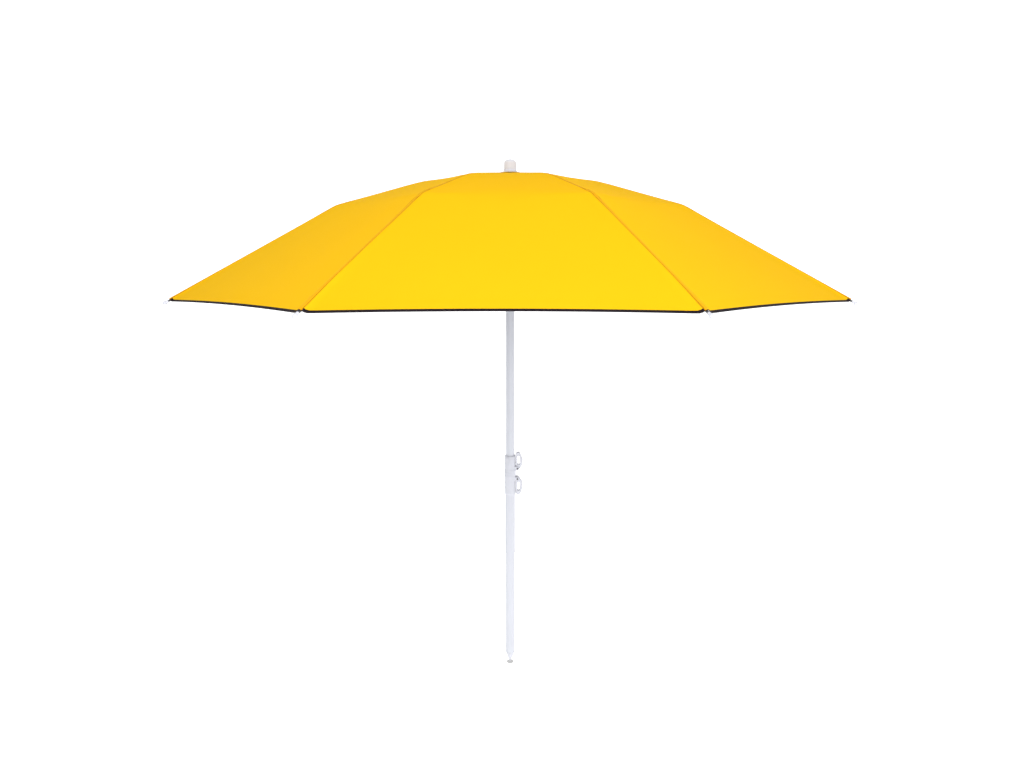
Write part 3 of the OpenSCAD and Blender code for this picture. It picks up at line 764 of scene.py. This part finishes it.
    def build(self) -> None:
        """Makes and dresses every piece of cloth."""
        start, knee, corner = self.inner_start, self.knee_radius, self.corner_radius
        inner_rows = np.concatenate([np.linspace(start, 0.44, 34), np.linspace(0.449, knee, 11)])
        outer_rows = np.concatenate([np.linspace(knee, 0.548, 11), np.linspace(0.56, corner, 30)])
        cloths = [self.finishes.cloth, self.finishes.lining, self.finishes.seam]
        for rib in range(1, RIBS + 1):
            hem = self.binding(rib).build(f"hem_binding_{rib}", [self.finishes.binding])
            tidy_normals(hem)
            hem.data.set_sharp_from_angle(angle=self.sharp_tape)
            dress(hem, f"outer_rib_{rib}", Slot.CLOTH, "canopy")
            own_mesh(hem)
            halves = (("inner", inner_rows, self.inner_keep), ("outer", outer_rows, self.outer_keep))
            for part, rows, keep in halves:
                piece = self.shell(rows, rib).build(f"canopy_{part}_{rib}", cloths)
                tidy_normals(piece)
                piece.data.set_sharp_from_angle(angle=self.sharp_fold)
                dress(piece, f"{part}_rib_{rib}", Slot.CLOTH, "canopy")
                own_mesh(piece)
                width, length, area = self.cloth_area(rows[0], rows[-1])
        self._patch()

    def _patch(self) -> None:
        """The crown's reinforcing patch: a small eight-sided disc of cloth on top of the gores."""
        rows = np.linspace(6.2 * MM, self.patch_radius, 9)
        shares = np.linspace(0, 1, 9)[:-1]
        outside, inside = [], []
        for rib in range(1, RIBS + 1):
            radius, share = np.meshgrid(rows, shares, indexing="ij")
            near = np.where(share > 0.5, share - 1, share)
            owner = rib + (share > 0.5)
            first, second = (self.surface(radius, near, k) for k in (rib, rib % RIBS + 1))
            spot = np.where((owner == rib)[..., None], first, second)
            outside.append(spot + [0, 0, 0.55 * MM])
            inside.append(spot + [0, 0, 0.05 * MM])
        top, under = np.concatenate(outside, 1), np.concatenate(inside, 1)
        rows_n, columns = top.shape[:2]
        loop = np.concatenate([top, under[::-1]])
        points = np.concatenate([loop, loop[:1]]).reshape(-1, 3)
        made = Shell()
        cloth = points[:, :2].copy()
        made.add(points, grid_quads(2 * rows_n + 1, columns, wrap=True), 0, cloth)
        piece = made.build("crown_patch", [self.finishes.cloth])
        tidy_normals(piece)
        piece.data.set_sharp_from_angle(angle=self.sharp_fold)
        dress(piece, "upper_pole", Slot.CLOTH, "canopy")


def azimuth(rib: int) -> float:
    """A rib's azimuth, in radians."""
    return GORE_ANGLE / 2 + GORE_ANGLE * (rib - 1)


# ---------------------------------------------------------------- hardware


@dataclass
class TurnedPieces:
    """The round pieces: tubes with rounded lips, the spike's point, the finial and its washer."""

    finishes: Finishes
    wall: float = 1.2 * MM
    lip: float = 0.4 * MM
    sharp: float = math.radians(38)

    def _make(self, name: str, node: str, body: str, slot: Slot, profile: list[tuple[float, float]]) -> None:
        """Turns a profile and puts it in place of a CAD node."""
        made = Shell()
        points, quads, cloth = revolve(profile)
        made.add(points, quads, 0, cloth)
        piece = made.build(name, [self.finishes.by_slot[slot]])
        tidy_normals(piece)
        piece.data.set_sharp_from_angle(angle=self.sharp)
        dress(piece, body, slot, node)

    def tube(self, name: str, node: str, body: str, bore: float | None = None) -> None:
        """A tube with a rounded lip at each end, from its node's own box.

        Args:
            name: the piece's name.
            node: the CAD node.
            body: the body it rides on.
            bore: the inner radius, or None for the usual wall.
        """
        low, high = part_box(node)
        outer, lip = high.x, self.lip
        inner = bore if bore is not None else outer - self.wall
        lip = min(lip, (outer - inner) * 0.45)
        profile = [(inner, low.z + lip), (inner, high.z - lip)]
        profile += arc((inner + lip, high.z - lip), lip, 180, 90, 4) + arc((outer - lip, high.z - lip), lip, 90, 0, 4)
        profile += [(outer, high.z - lip - 0.02 * MM), (outer, low.z + lip + 0.02 * MM)]
        profile += arc((outer - lip, low.z + lip), lip, 0, -90, 4) + arc((inner + lip, low.z + lip), lip, 270, 180, 4)
        self._make(name, node, body, Slot.TUBE, profile + [(inner, low.z + lip)])

    def spike(self) -> None:
        """The pointed end: a cone with a small blunt nose and a rounded shoulder, and its plug in the tube."""
        low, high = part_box("spike_tip")
        shoulder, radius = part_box("spike_tube")[0].z, high.x
        nose = 1.1 * MM
        profile = [(0.0, 0.0)] + arc((0.0, nose), nose, -80, -25, 6)
        profile += [(radius - 0.5 * MM, shoulder - 1.6 * MM)]
        profile += arc((radius - 1.3 * MM, shoulder - 1.3 * MM), 1.3 * MM, 0, 60, 4)
        plug = radius - self.wall - 0.05 * MM
        profile += [(plug, shoulder), (plug, high.z - 1 * MM), (plug - 1 * MM, high.z), (0.0, high.z)]
        self._make("spike_point", "spike_tip", "lower_pole", Slot.WHITE, profile)

    def finial(self) -> None:
        """The domed cap: a skirt ring, a parting groove and a crowned dome, with its stem below."""
        low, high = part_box("finial")
        base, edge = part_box("finial_washer")[1].z, high.x
        top = high.z
        body = edge - 0.6 * MM
        shoulder = 9.5 * MM
        dome = 1.7 * edge
        ring = 5.4 * MM
        lean = math.degrees(math.asin((body - shoulder) / (dome - shoulder)))
        centre_z = top - dome
        corner = (body - shoulder, centre_z + (dome - shoulder) * math.cos(math.radians(lean)))
        stem = 5 * MM
        profile = [(0.0, low.z), (stem - 0.5 * MM, low.z), (stem, low.z + 0.5 * MM), (stem, base + 0.1 * MM)]
        profile += [(edge - 0.8 * MM, base + 0.1 * MM)] + arc((edge - 0.8 * MM, base + 0.9 * MM), 0.8 * MM, -90, 0, 5)
        profile += arc((edge - 0.8 * MM, base + ring - 0.8 * MM), 0.8 * MM, 0, 90, 5)
        profile += [(body - 0.8 * MM, base + ring), (body - 0.8 * MM, base + ring + 0.6 * MM)]
        profile += arc((body - 0.5 * MM, base + ring + 1.1 * MM), 0.5 * MM, -90, 0, 4)
        profile += arc(corner, shoulder, 0, 90 - lean, 12)
        turns = np.radians(np.linspace(lean * 0.93, 0, 10))
        profile += [(dome * math.sin(t), centre_z + dome * math.cos(t)) for t in turns]
        self._make("finial_cap", "finial", "upper_pole", Slot.WHITE, profile)

    def washer(self) -> None:
        """The broad washer that clamps the cloth: a low cone with a rounded rim."""
        low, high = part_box("finial_washer")
        edge, rim, hole = high.x, 1.3 * MM, 5.1 * MM
        profile = [(hole, low.z), (edge - rim, low.z)] + arc((edge - rim, low.z + rim), rim, -90, 60, 8)
        profile += [(edge * 0.7, high.z - 0.3 * MM), (edge * 0.62, high.z), (hole, high.z), (hole, low.z)]
        self._make("finial_washer_disc", "finial_washer", "upper_pole", Slot.WHITE, profile)

    def build(self) -> None:
        """Makes all the turned pieces."""
        spike_tube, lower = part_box("spike_tube"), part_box("lower_tube")
        self.tube("spike_tube_skin", "spike_tube", "lower_pole")
        self.tube("lower_tube_skin", "lower_tube", "lower_pole", spike_tube[1].x + 0.06 * MM)
        self.tube("upper_pole_skin", "upper_pole", "upper_pole")
        LOG.info("lower tube is %.0f mm long", 1000 * (lower[1].z - lower[0].z))
        self.spike()
        self.finial()
        self.washer()


@dataclass
class MouldedPieces:
    """Copies of CAD nodes with their edges rounded, as moulded and pressed pieces have them."""

    finishes: Finishes
    flat_angle: float = math.radians(1.0)
    edge_angle: float = math.radians(34)

    def soften(self, node: str, body: str, slot: Slot, radius: float, segments: int = 2) -> bpy.types.Object:
        """Rounds the sharp edges of a copy of a node and puts it in the node's place.

        Args:
            node: the CAD node.
            body: the body it rides on.
            slot: its finish.
            radius: the rounding of its edges.
            segments: steps across a rounding.

        Returns:
            The new piece.
        """
        work = bmesh.new()
        work.from_mesh(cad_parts[node].data)
        bmesh.ops.remove_doubles(work, verts=work.verts, dist=2e-6)
        bmesh.ops.dissolve_limit(work, angle_limit=self.flat_angle, verts=work.verts, edges=work.edges)
        work.verts.index_update()
        points = [tuple(v.co) for v in work.verts]
        faces = [[v.index for v in f.verts] for f in work.faces]
        work.free()
        mesh = bpy.data.meshes.new(node + "_finished")
        mesh.from_pydata(points, [], faces)
        mesh.materials.append(self.finishes.by_slot[slot])
        mesh.shade_smooth()
        mesh.set_sharp_from_angle(angle=self.edge_angle)
        piece = bpy.data.objects.new(node + "_finished", mesh)
        bpy.context.scene.collection.objects.link(piece)
        if radius > 0:
            bevel = piece.modifiers.new("rounded_edges", "BEVEL")
            bevel.width = radius
            bevel.segments = segments
            bevel.limit_method = "ANGLE"
            bevel.angle_limit = self.edge_angle
            bevel.use_clamp_overlap = True
            bevel.harden_normals = False
        return dress(piece, body, slot, node)

    def build(self) -> None:
        """Finishes the clamp, the hub, the runner and the ribs' hardware."""
        for node, body, slot, radius, segments in (
            ("connector", "lower_pole", Slot.WHITE, 0.35, 2),
            ("upper_lever", "upper_lever", Slot.WHITE, 1.4, 3),
            ("lower_lever", "lower_lever", Slot.WHITE, 1.4, 3),
            ("lever_pins", "lower_pole", Slot.BLACKENED, 0.25, 2),
            ("connector_screws", "lower_pole", Slot.ZINC, 0.1, 2),
            ("upper_clamp_pad", "lower_pole", Slot.WHITE, 0.2, 2),
            ("lower_clamp_pad", "lower_pole", Slot.WHITE, 0.2, 2),
            ("crown_hub", "upper_pole", Slot.WHITE, 0.4, 2),
            ("crown_pins", "upper_pole", Slot.ZINC, 0.15, 2),
            ("runner", "runner", Slot.WHITE, 0.4, 2),
            ("runner_pins", "runner", Slot.ZINC, 0.15, 2),
            ("trigger_spring", "runner", Slot.ZINC, 0.0, 2),
            ("runner_trigger", "trigger", Slot.DARK, 0.35, 2),
        ):
            self.soften(node, body, slot, radius * MM, segments)
        for rib in range(1, RIBS + 1):
            for kind, body, slot, radius in (
                ("inner_rib", "inner_rib", Slot.ROD, 0.2),
                ("fold_joint", "inner_rib", Slot.DARK, 0.2),
                ("outer_rib", "outer_rib", Slot.ROD, 0.2),
                ("rib_tip", "outer_rib", Slot.WHITE, 0.2),
                ("stretcher", "stretcher", Slot.ZINC, 0.25),
            ):
                self.soften(f"{kind}_{rib}", f"{body}_{rib}", slot, radius * MM)


# ---------------------------------------------------------------- studio


@dataclass
class Studio:
    """A white sweep of floor, soft light from above and in front, and a level camera at eye height.

    The camera is level, so upright tubes stay parallel; the small downward shift only frames the spike.
    """

    distance: float = 1.8935
    height: float = 1.1363
    focal_px: float = 643.58
    frame_px: float = 1024.0
    shift: float = -0.1066
    orbit: float = math.radians(0.88)
    aim: float = math.radians(-0.165)
    sensor: float = 36.0
    flat: float = 9.0
    bend: float = 4.0
    wall: float = 4.0
    glow: tuple[float, float, float, float] = (-3.0, -0.6, 0.2, 0.68)
    aimed_at: tuple[float, float, float] = (0, 0, 1.1)
    sky: float = 0.58

    def camera(self) -> None:
        """Places the camera."""
        data = bpy.data.cameras.new("camera")
        data.sensor_width = self.sensor
        data.lens = self.focal_px / self.frame_px * self.sensor
        data.shift_y = self.shift
        data.clip_end = 200
        camera = bpy.data.objects.new("camera", data)
        camera.location = (self.distance * math.sin(self.orbit), -self.distance * math.cos(self.orbit), self.height)
        camera.rotation_euler = (math.pi / 2, 0, self.orbit + self.aim)
        bpy.context.scene.collection.objects.link(camera)
        bpy.context.scene.camera = camera

    def floor(self) -> None:
        """A wide round floor that curves up into a wall: a quarter round joins the two."""
        t = np.radians(np.linspace(-90, 0, 14))
        far = self.flat + self.bend
        radius = np.concatenate([[0.01, 3, 6], self.flat + self.bend * np.cos(t), [far]])
        height = np.concatenate([[0, 0, 0], self.bend + self.bend * np.sin(t), [self.bend + self.wall]]) - 0.5 * MM
        made = Shell()
        points, quads, cloth = revolve(list(zip(radius, height)), 64)
        made.add(points, quads[:, ::-1], 0, cloth)
        recipe = Recipe("studio_paper")
        grain = recipe.noise(recipe.place(), 60.0, 2.0)
        recipe.link(recipe.blend(grain, (0.80, 0.80, 0.80), (0.82, 0.82, 0.82)), recipe.shader.inputs["Base Color"])
        depth = recipe.node("SeparateXYZ", Vector=recipe.place()).outputs["Y"]
        glow = recipe.node("MapRange", Value=depth)
        for socket, value in zip(("From Min", "From Max", "To Min", "To Max"), self.glow):
            glow.inputs[socket].default_value = value
        recipe.link(glow.outputs["Result"], recipe.shader.inputs["Emission Strength"])
        recipe.set(Roughness=0.9, Emission_Color=(1, 1, 1, 1))
        made.build("studio_floor", [recipe.material])

    def light(self, name: str, place: tuple[float, float, float], size: float, power: float) -> None:
        """One square soft light aimed at the canopy."""
        data = bpy.data.lights.new(name, "AREA")
        data.size = size
        data.energy = power
        lamp = bpy.data.objects.new(name, data)
        lamp.location = place
        target = np.array(self.aimed_at) - np.array(place)
        flat = math.hypot(target[0], target[1])
        lamp.rotation_euler = (math.atan2(flat, -target[2]), 0, math.atan2(target[1], target[0]) - math.pi / 2)
        bpy.context.scene.collection.objects.link(lamp)

    def build(self) -> None:
        """Makes the camera, the floor, the lights and the world."""
        scene = bpy.context.scene
        self.camera()
        self.floor()
        self.light("key", (0.1, -2.2, 2.7), 1.2, 27)
        self.light("fill", (0.7, -2.7, 0.85), 1.4, 20)
        world = scene.world or bpy.data.worlds.new("world")
        scene.world = world
        world.use_nodes = True
        background = world.node_tree.nodes["Background"]
        background.inputs["Color"].default_value = (1.0, 1.0, 1.0, 1.0)
        background.inputs["Strength"].default_value = self.sky
        scene.view_settings.view_transform = "Standard"
        scene.view_settings.look = "None"


def main() -> None:
    """Builds the studio, the canopy and the hardware."""
    logging.basicConfig(level=logging.INFO, format="%(name)s: %(message)s")
    Studio().build()
    finishes = Finishes()
    Canopy(finishes).build()
    TurnedPieces(finishes).build()
    MouldedPieces(finishes).build()


if __name__ == "__main__":
    main()
